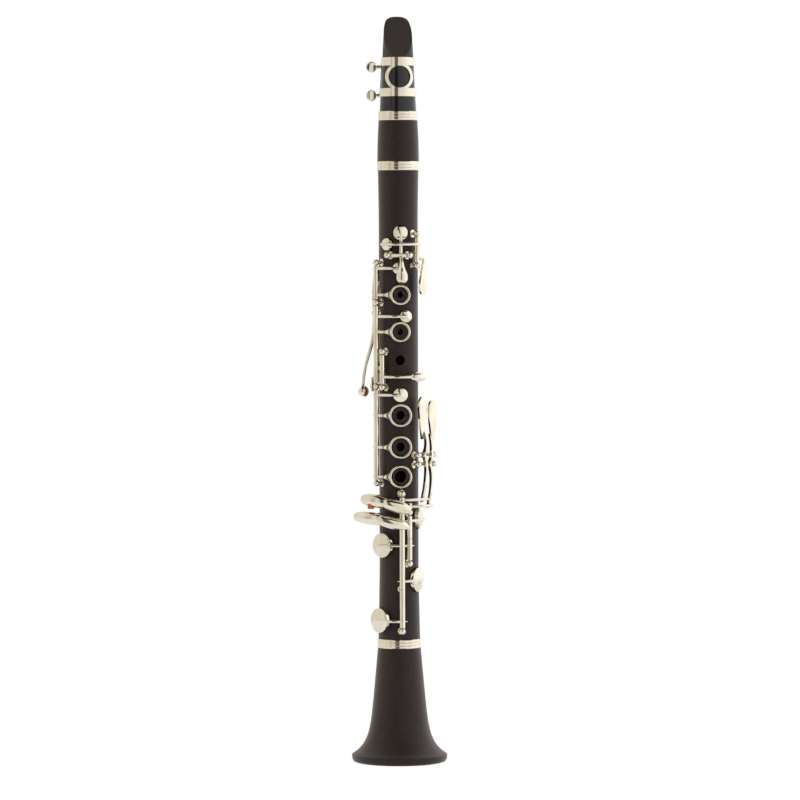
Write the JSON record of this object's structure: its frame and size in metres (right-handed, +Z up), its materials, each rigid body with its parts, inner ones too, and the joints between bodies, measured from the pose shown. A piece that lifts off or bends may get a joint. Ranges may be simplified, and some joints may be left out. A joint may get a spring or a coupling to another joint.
{
  "type": "clarinet",
  "caption": "Small one-piece-body clarinet with mouthpiece, barrel, flared bell, sprung ring keys, throat keys, side levers and a little-finger key cluster.",
  "frame": {"origin": "centre of the bell's rim plane, on the bore axis", "axes": "+Z up the bore towards the mouthpiece, -Y the way the finger holes face, +X to the viewer's right"},
  "size_m": [0.0628, 0.0628, 0.4895],
  "materials": {
    "body_wood": "matte brown-black, fine grain",
    "mouthpiece_ebonite": "black hard rubber, satin beak",
    "key_metal": "bright nickel plate",
    "steel": "polished steel rod",
    "pad_skin": "pale skin over felt",
    "cork": "natural cork",
    "cane": "shaved cane"
  },
  "bodies": {
    "body": {"body_tube": "body_wood", "body_top_cork": "cork", "body_bottom_cork": "cork", "bell": "body_wood", "bell_ring": "key_metal", "upper_posts": "key_metal", "lower_posts": "key_metal", "hinge_rods": "steel", "needle_springs": "steel", "register_bushing": "key_metal", "thumb_bushing": "key_metal", "thumb_rest": "key_metal", "thumb_rest_screws": "steel"},
    "barrel": {"barrel": "body_wood", "barrel_top_ring": "key_metal", "barrel_bottom_ring": "key_metal", "mouthpiece": "mouthpiece_ebonite", "mouthpiece_cork": "cork", "reed": "cane", "ligature": "key_metal"},
    "ligature_screw_upper": {"ligature_screw_upper": "key_metal"},
    "ligature_screw_lower": {"ligature_screw_lower": "key_metal"},
    "register_key": {"register_key": "key_metal", "register_pad": "pad_skin"},
    "throat_a_key": {"throat_a_key": "key_metal", "throat_a_pad": "pad_skin", "throat_adjusting_screw": "steel"},
    "throat_g_sharp_key": {"throat_g_sharp_key": "key_metal", "throat_g_sharp_pad": "pad_skin"},
    "first_ring_key": {"first_ring_key": "key_metal", "first_ring_pad": "pad_skin"},
    "second_ring_key": {"second_ring_key": "key_metal", "second_ring_pad": "pad_skin"},
    "thumb_ring_key": {"thumb_ring_key": "key_metal", "thumb_ring_pad": "pad_skin"},
    "c_sharp_key": {"c_sharp_key": "key_metal", "c_sharp_pad": "pad_skin"},
    "right_ring_key": {"right_ring_key": "key_metal", "right_ring_pad": "pad_skin"},
    "upper_trill_key": {"upper_trill_key": "key_metal", "upper_trill_pad": "pad_skin", "upper_trill_cork": "cork"},
    "lower_trill_key": {"lower_trill_key": "key_metal", "lower_trill_pad": "pad_skin"},
    "long_left_lever": {"long_left_lever": "key_metal"},
    "short_left_lever": {"short_left_lever": "key_metal"},
    "low_e_key": {"low_e_key": "key_metal", "low_e_rod": "steel", "low_e_pad": "pad_skin", "low_e_cork": "cork"},
    "low_f_key": {"low_f_key": "key_metal", "low_f_pad": "pad_skin"},
    "low_f_sharp_key": {"low_f_sharp_key": "key_metal", "low_f_sharp_rod": "steel", "low_f_sharp_pad": "pad_skin"},
    "a_flat_key": {"a_flat_key": "key_metal", "a_flat_pad": "pad_skin"}
  },
  "joints": [
    {"name": "barrel_pull", "type": "slide", "parent": "body", "child": "barrel", "axis": [0, 0, 1], "range_m": [0, 0.003]},
    {"name": "ligature_screw_upper_turn", "type": "hinge", "parent": "barrel", "child": "ligature_screw_upper", "pos_m": [0, 0.01453, 0.4568], "axis": [-1, 0, 0], "range_deg": [-180, 180]},
    {"name": "ligature_screw_lower_turn", "type": "hinge", "parent": "barrel", "child": "ligature_screw_lower", "pos_m": [0, 0.01453, 0.4381], "axis": [-1, 0, 0], "range_deg": [-180, 180]},
    {"name": "register_key_press", "type": "hinge", "parent": "body", "child": "register_key", "pos_m": [0, 0.0161, 0.33698], "axis": [-1, 0, 0], "range_deg": [0, 7], "stiffness_Nm_per_rad": 0.08, "springref_deg": -5.73},
    {"name": "throat_a_key_press", "type": "hinge", "parent": "body", "child": "throat_a_key", "pos_m": [0, -0.0157, 0.33284], "axis": [1, 0, 0], "range_deg": [0, 5.5], "stiffness_Nm_per_rad": 0.08, "springref_deg": -5.73},
    {"name": "throat_g_sharp_key_press", "type": "hinge", "parent": "body", "child": "throat_g_sharp_key", "pos_m": [0.01075, -0.01304, 0.32604], "axis": [0, 0, 1], "range_deg": [0, 6], "stiffness_Nm_per_rad": 0.08, "springref_deg": -5.73},
    {"name": "first_ring_key_press", "type": "hinge", "parent": "body", "child": "first_ring_key", "pos_m": [-0.01562, -0.00779, 0.30704], "axis": [0, 0, 1], "range_deg": [0, 3.15], "stiffness_Nm_per_rad": 0.08, "springref_deg": -5.73},
    {"name": "second_ring_key_press", "type": "hinge", "parent": "body", "child": "second_ring_key", "pos_m": [-0.01562, -0.00779, 0.28284], "axis": [0, 0, 1], "range_deg": [0, 3.15], "stiffness_Nm_per_rad": 0.08, "springref_deg": -5.73},
    {"name": "thumb_ring_key_press", "type": "hinge", "parent": "body", "child": "thumb_ring_key", "pos_m": [0.01131, 0.01256, 0.30301], "axis": [0, 0, 1], "range_deg": [0, 3.15], "stiffness_Nm_per_rad": 0.08, "springref_deg": -5.73},
    {"name": "c_sharp_key_press", "type": "hinge", "parent": "body", "child": "c_sharp_key", "pos_m": [-0.01208, -0.01146, 0.2465], "axis": [0, 0, 1], "range_deg": [0, 5], "stiffness_Nm_per_rad": 0.08, "springref_deg": -5.73},
    {"name": "right_ring_key_press", "type": "hinge", "parent": "body", "child": "right_ring_key", "pos_m": [-0.01562, -0.00779, 0.18361], "axis": [0, 0, 1], "range_deg": [0, 3.15], "stiffness_Nm_per_rad": 0.08, "springref_deg": -5.73},
    {"name": "upper_trill_key_press", "type": "hinge", "parent": "body", "child": "upper_trill_key", "pos_m": [-0.01548, 0.0019, 0.29502], "axis": [-0.1219, -0.9925, 0], "range_deg": [0, 4.5], "stiffness_Nm_per_rad": 0.08, "springref_deg": -5.73},
    {"name": "lower_trill_key_press", "type": "hinge", "parent": "body", "child": "lower_trill_key", "pos_m": [-0.01177, 0.01023, 0.28602], "axis": [-0.6561, -0.7547, 0], "range_deg": [0, 4.5], "stiffness_Nm_per_rad": 0.08, "springref_deg": -5.73},
    {"name": "low_e_key_press", "type": "hinge", "parent": "body", "child": "low_e_key", "pos_m": [0, -0.019, 0.081], "axis": [0, 0, -1], "range_deg": [0, 7.75], "stiffness_Nm_per_rad": 0.08, "springref_deg": -5.73},
    {"name": "low_f_key_press", "type": "hinge", "parent": "body", "child": "low_f_key", "pos_m": [0, -0.019, 0.081], "axis": [0, 0, -1], "range_deg": [0, 6.5], "stiffness_Nm_per_rad": 0.08, "springref_deg": -5.73},
    {"name": "low_f_sharp_key_press", "type": "hinge", "parent": "body", "child": "low_f_sharp_key", "pos_m": [0.00509, -0.01606, 0.081], "axis": [0, 0, -1], "range_deg": [0, 7.75], "stiffness_Nm_per_rad": 0.08, "springref_deg": -5.73},
    {"name": "a_flat_key_press", "type": "hinge", "parent": "body", "child": "a_flat_key", "pos_m": [0.00509, -0.01606, 0.081], "axis": [0, 0, -1], "range_deg": [0, 6.5], "stiffness_Nm_per_rad": 0.08, "springref_deg": -5.73},
    {"name": "long_left_lever_press", "type": "hinge", "parent": "body", "child": "long_left_lever", "pos_m": [0.01156, -0.0124, 0.20209], "axis": [-0.7314, -0.682, 0], "range_deg": [0, 4.85]},
    {"name": "short_left_lever_press", "type": "hinge", "parent": "body", "child": "short_left_lever", "pos_m": [0.01156, -0.0124, 0.19589], "axis": [-0.7314, -0.682, 0], "range_deg": [0, 5.32]}
  ],
  "couplings": [
    {"joint": "long_left_lever_press", "follows": "low_e_key_press", "ratio": 0.6},
    {"joint": "short_left_lever_press", "follows": "low_f_sharp_key_press", "ratio": 0.66}
  ]
}
